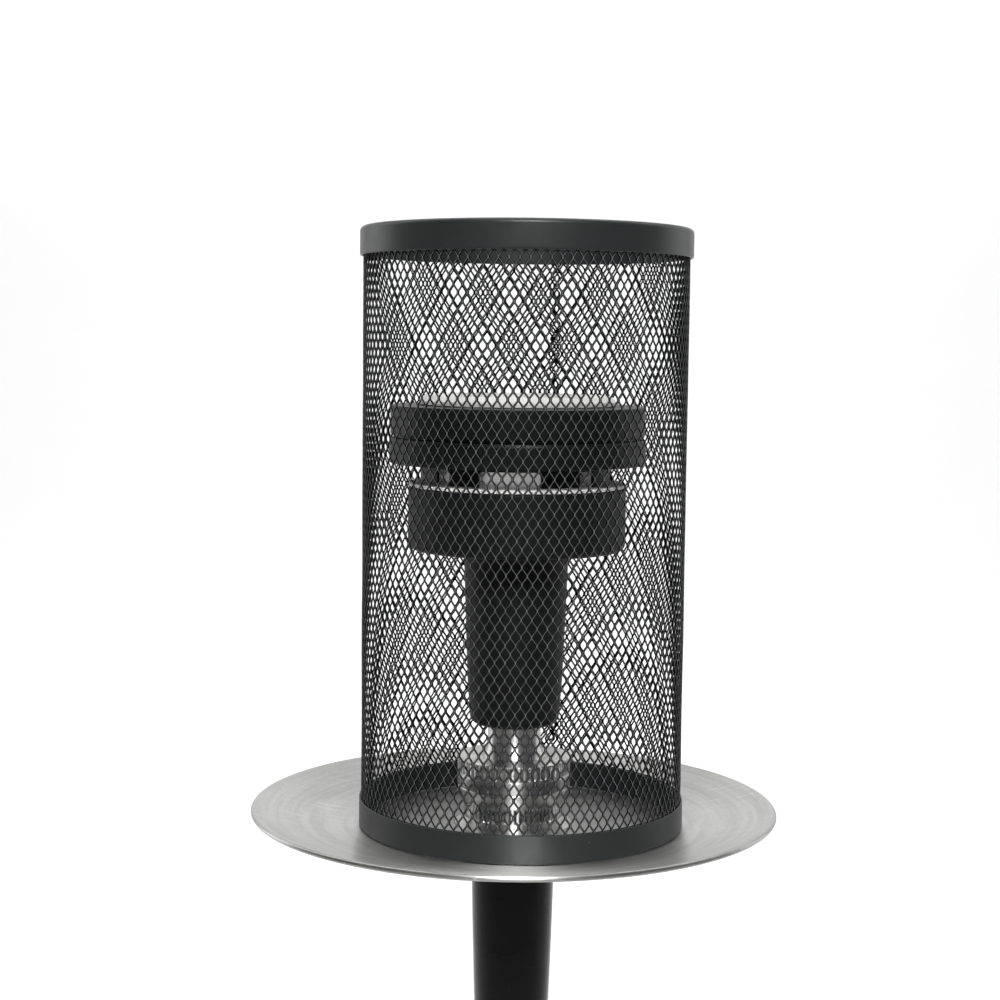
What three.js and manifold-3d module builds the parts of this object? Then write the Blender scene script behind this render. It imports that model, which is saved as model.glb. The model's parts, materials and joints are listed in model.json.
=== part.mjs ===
// The head of a hookah: a wind cover standing on a charcoal tray, a heat management device on a
// clay bowl, a screwed bowl adapter, and the sleeved stem down to the coupling that screws into
// the base. Millimetres, +Z up. The stem's axis is the Z axis, and the foot's lower face is z = 0.

import * as THREE from "three";
import { mergeVertices } from "three/addons/utils/BufferGeometryUtils.js";
import Module from "manifold-3d";

const wasm = await Module();
wasm.setup();

// ---------------------------------------------------------------- driving dimensions

// Heights below are measured from the tray's floor. The whole stack then stands on its foot.
const FOOT_DEPTH = 190;
const GAP = 0.3; // clearance between pieces that touch

const SIDES = { cover: 48, head: 36, stem: 24 }; // flats round a turned piece

const COVER = {
  offset: 2.5, // it stands loose on the tray, a little to one side
  height: 211.4,
  bandRadius: 58,
  topBandRadius: 58.5,
  bandHeight: 9.6,
  topBandHeight: 10.1,
  boreRadius: 56,
  topRounding: 1.5,
  bandSheet: 0.55,
  channelFloor: 0.7,
  mesh: { radius: 57.15, sheet: 0.3 },
};

const TRAY = {
  holeRadius: 21.3,
  floorRadius: 58,
  rimRadius: 92.4,
  edgeRadius: 93.8,
  rimHeight: 6.8,
  hemBottom: 4.9,
  sheet: 0.9,
  risePower: 1.4,
};

const COLLAR = {
  radius: 17.7,
  topRadius: 20.1,
  knurl: [3, 8.5],
  top: 14,
  socketFloor: 3,
  socket: 12,
  foot: { radius: 21, bottom: -0.5, top: 0.1 }, // a thin flange that closes the tray's hole
  undercut: { radius: 16.2, top: 2.6 },
};

const ADAPTER = {
  flangeRadius: 20.2,
  flangeTop: 24.5,
  knurl: [19, 24],
  spigotRadius: 11.7,
  neckRadius: 9.5,
  flareRadius: 12,
  flareHeight: 6,
  neckTop: 36,
  nippleTop: 59.6,
  nippleRadius: 8.6,
  bore: 5.5,
};

const BOWL = {
  bottom: 36.2,
  neckRadius: 16,
  neckWaist: [17, 53],
  neckTopRadius: 18.5,
  neckTop: 94,
  cupRadius: 38.6,
  cupBottom: 98.8,
  rim: 120.9,
  mouthRadius: 34.6,
  wellRadius: 33.2,
  wellFloor: 104.2,
  spireTop: 117,
  spireRadius: 7.6,
  channel: 5,
  socketRadius: 12.2,
  shoulder: 60.3,
};

const PLATE = {
  radius: 38.4,
  top: 122.5,
  sheet: 1.3,
  rimHeight: 2.4,
  wall: 1.2,
  ring: { radius: 28.7, top: 131, foot: 3 }, // keeps the charcoal in the middle
};

const HMD = {
  radius: 45.4,
  lidRadius: 45,
  floor: 129.4,
  sheet: 2,
  bodyTop: 138.2,
  wall: 1.9,
  lidBottom: 139.4,
  lidTop: 149.6,
  skirtRadius: 34.8,
  skirtSheet: 0.9,
  bodyBore: 33,
  discRadius: 34.8,
  discTopRadius: 33,
  discTop: 153.2,
  pivotHole: 3.2,
  countersink: [6.3, 151.6],
};

// Windows of the skirt: four wide and four narrow ones in turn, measured from the front.
const WINDOWS = { first: -4.8, wide: 35.6, narrow: 10.5, count: 4, narrowShift: 47.4, top: 128.2 };
const VENTS = { count: 4, width: 34, inner: 13, outer: 28 };
const PLATE_HOLES = { radius: 2.1, rings: [[6, 13], [12, 25]] };

const TUBE = { radius: 8, bore: 6.5, top: 0 };
const SEAT = { radius: 26.5, hub: 14.5, top: -2.9, bottom: -6.7, hubTop: -5.4, bore: 8.3 };
const GROMMET = { bore: 18.1, flange: 25.5, upstand: 20.9, top: -0.8, flangeTop: -1.2, bottom: -2.6 };
const SLEEVE = { top: -8.3, bottom: -170, mean: 13.6, swell: 1.3, halfWave: 120, bore: 9.5, edge: 0.7 };
const BUSH = { length: 12, inset: 4, wall: 0.9 };
const SLEEVE_SEAL = { height: 1, inner: 9.6, upper: 14.3, lower: 12.9 };
const FERRULE = {
  radius: 15,
  neck: 13.4,
  top: -171.6,
  shoulder: -176,
  web: [-178.3, -176.3],
  socket: 10.5,
};
const SEALS = { adapter: 9.2, socket: 8.6, height: 2 }; // middle radii of the rubber rings
const RIBS = 36;

// ---------------------------------------------------------------- shapes

// A closed mesh as a manifold-3d solid.
function solid(geometry) {
  const bare = geometry.clone();
  bare.deleteAttribute("normal");
  bare.deleteAttribute("uv");
  const merged = mergeVertices(bare, 1e-4);
  return new wasm.Manifold(
    new wasm.Mesh({
      numProp: 3,
      vertProperties: merged.attributes.position.array,
      triVerts: new Uint32Array(merged.index.array),
    }),
  );
}

function geometryOf(manifold) {
  const mesh = manifold.getMesh();
  const geometry = new THREE.BufferGeometry();
  geometry.setAttribute("position", new THREE.BufferAttribute(mesh.vertProperties, 3));
  geometry.setIndex(new THREE.BufferAttribute(mesh.triVerts, 1));
  const flat = geometry.toNonIndexed();
  flat.computeVertexNormals();
  return flat;
}

// Turns a profile of [radius, height] points round the Z axis. A profile that leaves the axis
// free is closed on itself, which makes a ring.
function turned(profile, sides) {
  const points = profile.map(([r, z]) => new THREE.Vector2(r, z));
  if (THREE.ShapeUtils.isClockWise(points)) points.reverse();
  const onAxis = points.some((p) => p.x === 0);
  if (onAxis) {
    while (points[0].x !== 0 || points[points.length - 1].x !== 0) points.push(points.shift());
  } else {
    points.push(points[0].clone());
  }
  return new THREE.LatheGeometry(points, sides).rotateX(Math.PI / 2);
}

// Points of an arc round (r, z), angles in degrees from outwards, counter-clockwise.
function arc(r, z, radius, from, to, steps = 3) {
  return Array.from({ length: steps + 1 }, (_, i) => {
    const angle = THREE.MathUtils.degToRad(from + ((to - from) * i) / steps);
    return [r + radius * Math.cos(angle), z + radius * Math.sin(angle)];
  });
}

// Points of a curve, which point() gives for a parameter from 0 to 1.
function curve(steps, point) {
  return Array.from({ length: steps + 1 }, (_, i) => point(i / steps));
}

// A vertical prism from z = low to z = high.
function prism(shape, low, high) {
  const settings = { depth: high - low, bevelEnabled: false, curveSegments: 4 };
  return new THREE.ExtrudeGeometry(shape, settings).translate(0, 0, low);
}

// A slot between two radii, its middle at an angle measured from the front (-Y) towards +X.
function sector(inner, outer, middle, width, low, high) {
  const start = THREE.MathUtils.degToRad(middle - 90 - width / 2);
  const end = THREE.MathUtils.degToRad(middle - 90 + width / 2);
  const shape = new THREE.Shape();
  shape.absarc(0, 0, outer, start, end, false);
  shape.absarc(0, 0, inner, end, start, true);
  return prism(shape, low, high);
}

function cut(body, tools) {
  return geometryOf(tools.reduce((rest, tool) => rest.subtract(solid(tool)), solid(body)));
}

// Straight grip ribs round a collar, from z = low to z = high.
function knurled(body, crest, depth, [low, high]) {
  const shape = new THREE.Shape();
  for (let i = 0; i < 2 * RIBS; i++) {
    const angle = (Math.PI * i) / RIBS;
    const r = i % 2 ? crest - depth : crest;
    if (i === 0) shape.moveTo(r, 0);
    else shape.lineTo(r * Math.cos(angle), r * Math.sin(angle));
  }
  shape.closePath();
  const hole = new THREE.Path();
  hole.absarc(0, 0, crest - 2 * depth - 1, 0, 2 * Math.PI, true);
  shape.holes.push(hole);
  return geometryOf(solid(body).add(solid(prism(shape, low, high))));
}

// ---------------------------------------------------------------- wind cover

// Both bands are channels folded over the mesh wall's edge.
function coverBottomBand() {
  const { bandRadius: R, boreRadius: B, bandHeight: H, bandSheet: S } = COVER;
  const slot = COVER.mesh.radius + GAP;
  const inner = B + S;
  const floor = COVER.channelFloor;
  return turned(
    [[B, 0], [R - 0.4, 0], [R, 0.4], [R, H - 0.3], [R - 0.25, H], [slot, H], [slot, floor],
      [inner, floor], [inner, H], [B, H]],
    SIDES.cover,
  );
}

function coverTopBand() {
  const { topBandRadius: R, boreRadius: B, height: H, bandSheet: S, topRounding: round } = COVER;
  const low = H - COVER.topBandHeight;
  const slot = COVER.mesh.radius + GAP;
  const inner = B + S;
  const roof = H - COVER.channelFloor;
  return turned(
    [[slot, low], [R - 0.3, low], [R, low + 0.3], ...arc(R - round, H - round, round, 0, 90, 2),
      [B + 0.4, H], [B, H - 0.4], [B, low], [inner, low], [inner, roof], [slot, roof]],
    SIDES.cover,
  );
}

// The wall between the bands, a thin tube with its edges inside the two channels.
function coverMesh() {
  const { radius: R, sheet: S } = COVER.mesh;
  const edge = COVER.channelFloor + GAP;
  const top = COVER.height - edge;
  return turned([[R - S, edge], [R, edge], [R, top], [R - S, top]], SIDES.cover);
}

// ---------------------------------------------------------------- tray

function tray() {
  const { holeRadius: hole, floorRadius: floor, rimRadius: rim, edgeRadius: edge, rimHeight: H } = TRAY;
  const { sheet: S, hemBottom: hem } = TRAY;
  const rise = (t) => [floor + (rim - floor) * t, H * t ** TRAY.risePower];
  const upper = curve(5, rise);
  const lower = curve(4, (t) => rise(0.97 * t)).map(([r, z]) => [r, z - S]);
  const hemRoll = [
    [rim - 0.3, hem + 0.3], [edge - 0.9, hem], [edge, hem + 0.6], [edge, H - 0.6], [edge - 0.6, H],
  ];
  return turned([[hole, -S], ...lower, ...hemRoll, ...upper.reverse(), [hole, 0]], SIDES.cover);
}

// ---------------------------------------------------------------- heat management device

// The perforated plate that the charcoal lies on, inside a ring with a flared foot. The plate's
// lower rim centres it in the bowl's mouth.
function heatPlate() {
  const { radius: R, top, sheet, rimHeight, wall, ring } = PLATE;
  const low = top - sheet;
  const rim = BOWL.mouthRadius - 2 * GAP;
  const ringBore = ring.radius - wall;
  const flare = curve(2, (t) => [ring.radius + ring.foot * (1 - t) ** 2, top + ring.foot * t ** 2]);
  const plate = turned(
    [[0, low], [rim - wall, low], [rim - wall, low - rimHeight], [rim, low - rimHeight], [rim, low],
      [R - 0.3, low], [R, low + 0.3], [R, top - 0.3], [R - 0.3, top], ...flare, [ring.radius, ring.top],
      [ringBore, ring.top], [ringBore, top], [0, top]],
    SIDES.head,
  );
  const holes = PLATE_HOLES.rings.flatMap(([count, ringRadius]) =>
    Array.from({ length: count }, (_, i) => {
      const angle = (2 * Math.PI * i) / count;
      return new THREE.CylinderGeometry(PLATE_HOLES.radius, PLATE_HOLES.radius, 3 * sheet, 8)
        .rotateX(Math.PI / 2)
        .translate(ringRadius * Math.cos(angle), ringRadius * Math.sin(angle), top - sheet / 2);
    }),
  );
  return cut(plate, holes);
}

// A ring on eight legs, between the plate and the cup. The gaps between its legs let air in.
function heatSkirt() {
  const { skirtRadius: R, skirtSheet } = HMD;
  const B = R - skirtSheet;
  const low = PLATE.top + GAP;
  const high = HMD.floor - GAP;
  const ring = turned([[B, low], [R, low], [R, high], [B, high]], SIDES.head);
  const windows = [];
  for (let i = 0; i < WINDOWS.count; i++) {
    const middle = WINDOWS.first + (360 / WINDOWS.count) * i;
    const span = [low - 1, WINDOWS.top];
    windows.push(sector(B - 3, R + 3, middle, WINDOWS.wide, ...span));
    windows.push(sector(B - 3, R + 3, middle + WINDOWS.narrowShift, WINDOWS.narrow, ...span));
  }
  return cut(ring, windows);
}

// The lower tier, a wall with an inner flange that stands on the skirt.
function hmdBody() {
  const { radius: R, floor, sheet, bodyTop: top, wall, bodyBore: B } = HMD;
  return turned(
    [[B, floor], [R - 0.8, floor], [R, floor + 0.8], [R, top - 1.1], [R - 0.5, top], [R - wall, top],
      [R - wall, floor + sheet], [B, floor + sheet]],
    SIDES.head,
  );
}

function ventSlots(low, high, slack) {
  return Array.from({ length: VENTS.count }, (_, i) =>
    sector(VENTS.inner - slack, VENTS.outer + slack, (360 / VENTS.count) * (i + 0.5), VENTS.width, low, high),
  );
}

// The lid's lip drops inside the cup's wall, and its shoulder shows as the groove between them.
function hmdLid() {
  const { lidRadius: R, lidBottom: low, lidTop: top, bodyTop, pivotHole: hole } = HMD;
  const cupBore = HMD.radius - HMD.wall;
  const roof = top - HMD.sheet + 0.2;
  const lip = cupBore - GAP;
  const lid = turned(
    [[hole, roof], [lip - 1.6, roof], [lip - 1.6, bodyTop - 2], [lip, bodyTop - 2], [lip, bodyTop + GAP],
      [R - 1, bodyTop + GAP], [R - 1, low], [R - 0.3, low], [R, low + 0.3], [R, top - 0.8], [R - 0.8, top],
      [hole, top]],
    SIDES.head,
  );
  return cut(lid, ventSlots(roof - 1, top + 1, 0));
}

function ventDisc() {
  const { discRadius: R, discTopRadius: rTop, discTop: top, pivotHole: hole } = HMD;
  const [sinkRadius, sinkFloor] = HMD.countersink;
  const low = HMD.lidTop + GAP;
  const disc = turned(
    [[hole, low], [R, low], [R, low + 1.4], [rTop, top], [sinkRadius, top], [sinkRadius, sinkFloor],
      [hole, sinkFloor]],
    SIDES.head,
  );
  return cut(disc, ventSlots(low - 1, top + 1, 0.5));
}

function ventRivet() {
  const shank = HMD.pivotHole - GAP;
  const [sinkRadius, sinkFloor] = HMD.countersink;
  const head = sinkRadius - GAP;
  const top = HMD.discTop - 0.2;
  const tailTop = HMD.lidTop - HMD.sheet + 0.2 - GAP;
  return turned(
    [[0, tailTop - 1.6], [5.2, tailTop - 1.6], [5.2, tailTop], [shank, tailTop], [shank, sinkFloor + GAP],
      [head, sinkFloor + GAP], [head, top - 0.4], [head - 0.6, top], [0, top]],
    SIDES.stem,
  );
}

// ---------------------------------------------------------------- bowl

// A deep cup with a central spire: smoke enters the spire's top and runs down the neck.
function bowl() {
  const b = BOWL;
  const outside = [
    ...arc(b.neckRadius - 3, b.bottom + 3, 3, -90, 0, 2),
    b.neckWaist,
    [b.neckTopRadius, b.neckTop],
    [19.3, b.cupBottom - 1.4],
    [21, b.cupBottom],
    ...arc(b.cupRadius - 2.2, b.cupBottom + 2.2, 2.2, -90, 0, 2),
    [b.cupRadius, b.rim - 0.7],
    [b.cupRadius - 0.7, b.rim],
  ];
  const well = [
    [b.mouthRadius, b.rim],
    [b.mouthRadius, b.rim - 4],
    [b.wellRadius, b.rim - 6],
    [b.wellRadius, b.wellFloor + 5],
    [b.wellRadius - 4, b.wellFloor],
    [13, b.wellFloor],
    [b.spireRadius + 1.9, b.wellFloor + 2.5],
    [b.spireRadius, b.spireTop - 1],
    [b.spireRadius - 1.2, b.spireTop],
  ];
  const channel = [
    [b.channel, b.spireTop],
    [b.channel, b.shoulder],
    [b.socketRadius, b.shoulder],
    [b.socketRadius, b.bottom],
  ];
  return turned([...outside, ...well, ...channel], SIDES.head);
}

function bowlGrommet() {
  const outer = BOWL.socketRadius - GAP;
  const low = BOWL.bottom + 2;
  const high = BOWL.shoulder - GAP;
  return turned(
    [[ADAPTER.neckRadius + GAP, low], [outer, low], [outer, high], [ADAPTER.nippleRadius + GAP, high]],
    SIDES.stem,
  );
}

// ---------------------------------------------------------------- adapter and collar

function bowlAdapter() {
  const a = ADAPTER;
  const underside = COLLAR.top + GAP;
  const spigotEnd = COLLAR.socketFloor + SEALS.height + 2 * GAP;
  const spread = a.flareRadius - a.neckRadius;
  const flare = curve(3, (t) => [a.neckRadius + spread * (1 - t) ** 2, a.flangeTop + a.flareHeight * t]);
  const body = turned(
    [[a.bore, spigotEnd], [a.spigotRadius, spigotEnd], [a.spigotRadius, underside],
      [a.flangeRadius - 0.5, underside], [a.flangeRadius, underside + 0.5], [a.flangeRadius, a.knurl[0]],
      [a.flangeRadius - 0.5, a.knurl[0]], [a.flangeRadius - 0.5, a.knurl[1]],
      [a.flangeRadius - 0.7, a.flangeTop], ...flare, [a.neckRadius, a.neckTop],
      [a.nippleRadius, a.nippleTop - 0.8], [a.nippleRadius - 0.8, a.nippleTop], [a.bore, a.nippleTop]],
    SIDES.head,
  );
  return knurled(body, a.flangeRadius, 0.45, a.knurl);
}

// A rubber ring of round section.
function oRing(middleRadius, low, high) {
  const radius = (high - low) / 2;
  return turned(arc(middleRadius, low + radius, radius, 0, 300, 5), SIDES.stem);
}

// The collar stands in the tray's hole. Its foot flange is flush with the tray's floor, and an
// undercut parts the flange from the knurled grip.
function headCollar() {
  const c = COLLAR;
  const low = SEAT.top + GAP;
  const tubeTop = TUBE.top + GAP;
  const waistTop = c.top - 0.4;
  const waist = curve(3, (t) => [
    c.radius + (c.topRadius - c.radius) * t ** 1.6, c.knurl[1] + (waistTop - c.knurl[1]) * t,
  ]);
  const body = turned(
    [[SEAT.bore, low], [c.radius - 0.5, low], [c.radius, low + 0.5], [c.radius, c.foot.bottom],
      [c.foot.radius, c.foot.bottom], [c.foot.radius, c.foot.top], [c.undercut.radius, c.foot.top],
      [c.undercut.radius, c.undercut.top], [c.radius, c.undercut.top], [c.radius, c.knurl[0]],
      [c.radius - 0.5, c.knurl[0]], [c.radius - 0.5, c.knurl[1]], ...waist, [c.topRadius - 0.4, c.top],
      [c.socket, c.top], [c.socket, c.socketFloor], [TUBE.bore, c.socketFloor], [TUBE.bore, tubeTop],
      [SEAT.bore, tubeTop]],
    SIDES.head,
  );
  return knurled(body, c.radius, 0.45, c.knurl);
}

// ---------------------------------------------------------------- stem

function trayGrommet() {
  const g = GROMMET;
  return turned(
    [[g.bore, g.bottom], [g.flange, g.bottom], [g.flange, g.flangeTop], [g.upstand, g.flangeTop],
      [g.upstand, g.top - 0.2], [g.upstand - 0.2, g.top], [g.bore, g.top]],
    SIDES.stem,
  );
}

function traySeat() {
  const s = SEAT;
  return turned(
    [[s.bore, s.bottom], [s.hub, s.bottom], [s.hub, s.hubTop], [s.radius - 0.7, s.hubTop],
      [s.radius, s.hubTop + 0.7], [s.radius, s.top], [s.bore, s.top]],
    SIDES.stem,
  );
}

function innerTube() {
  const { radius, bore, top } = TUBE;
  const low = FERRULE.web[1] + GAP;
  return turned([[bore, low], [radius, low], [radius, top], [bore, top]], SIDES.stem);
}

// The sleeve swells gently towards the tray and narrows to a waist below it.
function sleeve() {
  const s = SLEEVE;
  const length = s.top - s.bottom;
  const radiusAt = (z) => s.mean + s.swell * Math.cos((Math.PI * z) / s.halfWave);
  const side = curve(8, (t) => {
    const z = s.bottom + s.edge + (length - 2 * s.edge) * t;
    return [radiusAt(z), z];
  });
  const [bottomRadius, topRadius] = [radiusAt(s.bottom), radiusAt(s.top)];
  return turned(
    [[s.bore, s.bottom], [bottomRadius - s.edge, s.bottom], ...side, [topRadius - s.edge, s.top],
      [s.bore, s.top]],
    SIDES.stem,
  );
}

function sleeveBush(low) {
  const inner = TUBE.radius + GAP;
  const outer = inner + BUSH.wall;
  const high = low + BUSH.length;
  return turned([[inner, low], [outer, low], [outer, high], [inner, high]], SIDES.stem);
}

function sleeveSeal(low, outer) {
  const { inner, height } = SLEEVE_SEAL;
  return turned([[inner, low], [outer, low], [outer, low + height], [inner, low + height]], SIDES.stem);
}

// The coupling at the stem's foot, with the socket that screws onto the base's nipple.
function footFerrule() {
  const f = FERRULE;
  const low = -FOOT_DEPTH;
  return turned(
    [[f.socket, low], [f.radius - 0.5, low], [f.radius, low + 0.5], [f.radius, f.shoulder],
      [f.neck, f.top], [SEAT.bore, f.top], [SEAT.bore, f.web[1]], [TUBE.bore, f.web[1]],
      [TUBE.bore, f.web[0]], [f.socket, f.web[0]]],
    SIDES.stem,
  );
}

// ---------------------------------------------------------------- assembly

const FINISH = {
  blackCoat: { color: 0x33353a, roughness: 0.5, metalness: 0.3 },
  blackHmd: { color: 0x1d1e20, roughness: 0.55, metalness: 0.3 },
  clay: { color: 0x17181a, roughness: 0.8, metalness: 0 },
  steel: { color: 0xb9bab8, roughness: 0.35, metalness: 1 },
  greyMetal: { color: 0x9a9a98, roughness: 0.45, metalness: 0.9 },
  sleeve: { color: 0x16171a, roughness: 0.4, metalness: 0 },
  rubber: { color: 0x1b1b1b, roughness: 0.9, metalness: 0 },
  plastic: { color: 0x5c5f63, roughness: 0.7, metalness: 0 },
};

function part(name, geometry, finish) {
  const mesh = new THREE.Mesh(geometry, new THREE.MeshStandardMaterial(FINISH[finish]));
  mesh.name = name;
  return mesh;
}

const cover = new THREE.Group();
cover.position.set(COVER.offset, 0, GAP);
cover.add(
  part("cover_top_band", coverTopBand(), "blackCoat"),
  part("cover_mesh", coverMesh(), "blackCoat"),
  part("cover_bottom_band", coverBottomBand(), "blackCoat"),
);

const heatDevice = new THREE.Group();
heatDevice.add(
  part("vent_disc", ventDisc(), "greyMetal"),
  part("vent_rivet", ventRivet(), "steel"),
  part("hmd_lid", hmdLid(), "blackHmd"),
  part("hmd_body", hmdBody(), "blackHmd"),
  part("heat_skirt", heatSkirt(), "blackHmd"),
  part("heat_plate", heatPlate(), "greyMetal"),
);

const adapter = new THREE.Group();
const sealFloor = COLLAR.socketFloor + GAP;
adapter.add(
  part("bowl_adapter", bowlAdapter(), "steel"),
  part("bowl_grommet", bowlGrommet(), "rubber"),
  part("adapter_seal", oRing(SEALS.adapter, sealFloor, sealFloor + SEALS.height), "rubber"),
);

const stem = new THREE.Group();
const bushLow = SLEEVE.bottom + BUSH.inset;
const bushHigh = SLEEVE.top - BUSH.inset - BUSH.length;
const lowerSeal = SLEEVE.bottom - GAP - SLEEVE_SEAL.height;
const socketRoof = FERRULE.web[0] - GAP;
stem.add(
  part("head_collar", headCollar(), "steel"),
  part("tray_grommet", trayGrommet(), "rubber"),
  part("tray_seat", traySeat(), "steel"),
  part("inner_tube", innerTube(), "steel"),
  part("upper_sleeve_seal", sleeveSeal(SLEEVE.top + GAP, SLEEVE_SEAL.upper), "rubber"),
  part("sleeve", sleeve(), "sleeve"),
  part("upper_sleeve_bush", sleeveBush(bushHigh), "plastic"),
  part("lower_sleeve_bush", sleeveBush(bushLow), "plastic"),
  part("lower_sleeve_seal", sleeveSeal(lowerSeal, SLEEVE_SEAL.lower), "rubber"),
  part("foot_ferrule", footFerrule(), "steel"),
  part("socket_seal", oRing(SEALS.socket, socketRoof - SEALS.height, socketRoof), "rubber"),
);

const hookahHead = new THREE.Group();
hookahHead.position.z = FOOT_DEPTH;
hookahHead.add(cover, part("tray", tray(), "steel"));
hookahHead.add(heatDevice, part("bowl", bowl(), "clay"), adapter, stem);

export default hookahHead;
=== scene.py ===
"""The looks of a hookah head: a wind cover of expanded metal on a steel charcoal tray, a heat
device on a clay bowl, a screwed bowl adapter, and the sleeved stem under the tray.

Profiles are in millimetres, heights from the tray's floor, as the object is measured. The
helpers turn them into meshes in metres, in the frame's own place.
"""

import json
import math

import bmesh
import bpy
from mathutils import Matrix, Vector, noise


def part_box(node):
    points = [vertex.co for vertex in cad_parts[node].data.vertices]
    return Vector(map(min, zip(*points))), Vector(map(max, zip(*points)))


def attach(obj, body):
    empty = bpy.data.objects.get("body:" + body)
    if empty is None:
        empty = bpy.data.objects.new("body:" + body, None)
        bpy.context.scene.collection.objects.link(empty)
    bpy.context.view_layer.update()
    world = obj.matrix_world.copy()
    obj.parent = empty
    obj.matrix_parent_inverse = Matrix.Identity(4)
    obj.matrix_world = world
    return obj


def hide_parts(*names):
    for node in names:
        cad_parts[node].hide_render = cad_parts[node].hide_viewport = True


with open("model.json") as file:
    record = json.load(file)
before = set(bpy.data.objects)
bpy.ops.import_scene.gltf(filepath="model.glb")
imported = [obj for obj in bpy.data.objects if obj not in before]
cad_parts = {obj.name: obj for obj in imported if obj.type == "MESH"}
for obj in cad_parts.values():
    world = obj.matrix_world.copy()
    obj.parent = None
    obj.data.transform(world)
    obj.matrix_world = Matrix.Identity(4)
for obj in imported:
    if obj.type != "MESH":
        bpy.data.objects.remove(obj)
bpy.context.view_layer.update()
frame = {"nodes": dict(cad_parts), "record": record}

MM = 0.001
MOUNTS = {mount["name"]: mount for mount in frame["record"]["mounts"]}
FLOOR = MOUNTS["tray_floor"]["pos_m"][2]  # the tray's floor, from which the heights count

BODY_OF = {node: body for body, nodes in frame["record"]["behaviour"]["bodies"].items() for node in nodes}


def middle(node):
    """The axis of a turned CAD node, as (x, y)."""
    low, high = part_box(node)
    return (low.x + high.x) / 2, (low.y + high.y) / 2


def top_of(node):
    """The height of a CAD node's top over the tray's floor, in millimetres."""
    return (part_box(node)[1].z - FLOOR) / MM


def foot_of(node):
    return (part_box(node)[0].z - FLOOR) / MM


def radius_of(node):
    low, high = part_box(node)
    return (high.x - low.x) / 2 / MM


# ------------------------------------------------------------------ materials

# Two attributes that the pieces' meshes carry for their materials: ridge masks the mesh wall's painted
# highlight, and slot sets the painted shade in the steel's grip slots.
RIDGE = "ridge"  # 1 along the ridges of the mesh wall's strands, 0 along their edges
SLOT = "slot"  # how far a place is carved in from its turned profile, in millimetres, as in a grip slot


class Graph:
    """A material's nodes, added and linked in one call each."""

    def __init__(self, name):
        self.material = bpy.data.materials.new(name)
        self.material.use_nodes = True
        self.tree = self.material.node_tree
        self.shader = self.tree.nodes["Principled BSDF"]

    def add(self, kind, settings=None, **inputs):
        node = self.tree.nodes.new("ShaderNode" + kind)
        for key, value in (settings or {}).items():
            setattr(node, key, value)
        for key, value in inputs.items():
            self.put(node, key, value)
        return node

    def put(self, node, key, value):
        numbered = key[0] == "i" and key[1:].isdigit()
        socket = node.inputs[int(key[1:]) if numbered else key.replace("_", " ")]
        if isinstance(value, bpy.types.NodeSocket):
            self.tree.links.new(value, socket)
        else:
            socket.default_value = value

    def math(self, operation, a, b=0.0):
        return self.add("Math", {"operation": operation}, i0=a, i1=b).outputs[0]

    def ramp(self, value, stops):
        node = self.add("ValToRGB", None, Fac=value)
        while len(node.color_ramp.elements) < len(stops):
            node.color_ramp.elements.new(0.5)
        for element, (place, level) in zip(node.color_ramp.elements, stops):
            element.position = place
            element.color = (*level, 1) if isinstance(level, tuple) else (level, level, level, 1)
        return node.outputs["Color"]

    def mix(self, amount, a, b):
        node = self.add("Mix", {"data_type": "RGBA"}, i0=amount)
        self.put(node, "i6", a)
        self.put(node, "i7", b)
        return node.outputs[2]

    def noise(self, vector, scale, detail=2.0, roughness=0.5):
        node = self.add("TexNoise", None, Vector=vector, Scale=scale, Detail=detail, Roughness=roughness)
        return node.outputs["Fac"]

    def place(self):
        return self.add("TexCoord").outputs["Object"]

    def stretched(self, scale, turn=0.0):
        """Object coordinates, scaled first and then turned, so a stretch stays along its own axis."""
        turned = self.add("Mapping", None, Vector=self.place(), Rotation=(0, 0, turn), Scale=scale)
        return turned.outputs["Vector"]

    def round_the_axis(self, lines, around):
        """Coordinates that are fine across a lathe's cutting marks and drawn out along them."""
        x, y, z = self.add("SeparateXYZ", None, Vector=self.place()).outputs
        flat = self.add("CombineXYZ", None, X=x, Y=y, Z=0.0).outputs[0]
        radius = self.add("VectorMath", {"operation": "LENGTH"}, i0=flat).outputs["Value"]
        unit = self.add("VectorMath", {"operation": "NORMALIZE"}, i0=flat).outputs[0]
        across = self.math("MULTIPLY", self.math("ADD", radius, z), lines)
        ux, uy, _ = self.add("SeparateXYZ", None, Vector=unit).outputs
        ux, uy = self.math("MULTIPLY", ux, around), self.math("MULTIPLY", uy, around)
        return self.add("CombineXYZ", None, X=ux, Y=uy, Z=across).outputs[0]

    def level(self, value, low, high):
        """value, from 0 to 1, spread between low and high."""
        return self.add("MapRange", None, Value=value, To_Min=low, To_Max=high).outputs[0]

    def bump(self, height, strength, distance):
        return self.add("Bump", None, Height=height, Strength=strength, Distance=distance).outputs["Normal"]

    def done(self, color, roughness, normal=None, **fixed):
        self.put(self.shader, "Base Color", color)
        self.put(self.shader, "Roughness", roughness)
        if normal is not None:
            self.put(self.shader, "Normal", normal)
        for key, value in fixed.items():
            self.put(self.shader, key, value)
        return self.material


def powder_coat(name, dark, light, gloss, specular):
    """Satin powder coat: a fine orange peel, soft clouds and a few specks of dust."""
    g = Graph(name)
    peel = g.noise(g.stretched((1, 1, 1)), 2600, 3)
    clouds = g.noise(g.place(), 45, 4)
    color = g.mix(g.level(clouds, 0.1, 0.9), dark, light)
    specks = g.add("TexVoronoi", {"feature": "F1"}, Vector=g.place(), Scale=230.0).outputs["Distance"]
    few = g.noise(g.place(), 60, 1)
    dust = g.math("MULTIPLY", g.math("LESS_THAN", specks, 0.035), g.math("GREATER_THAN", few, 0.6))
    color = g.mix(dust, color, (0.32, 0.32, 0.31, 1))
    roughness = g.level(g.noise(g.place(), 300, 3), gloss - 0.05, gloss + 0.07)
    normal = g.bump(peel, 0.12, 0.0002)
    return g.done(color, roughness, normal, Metallic=0.0, Specular_IOR_Level=specular)


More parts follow.
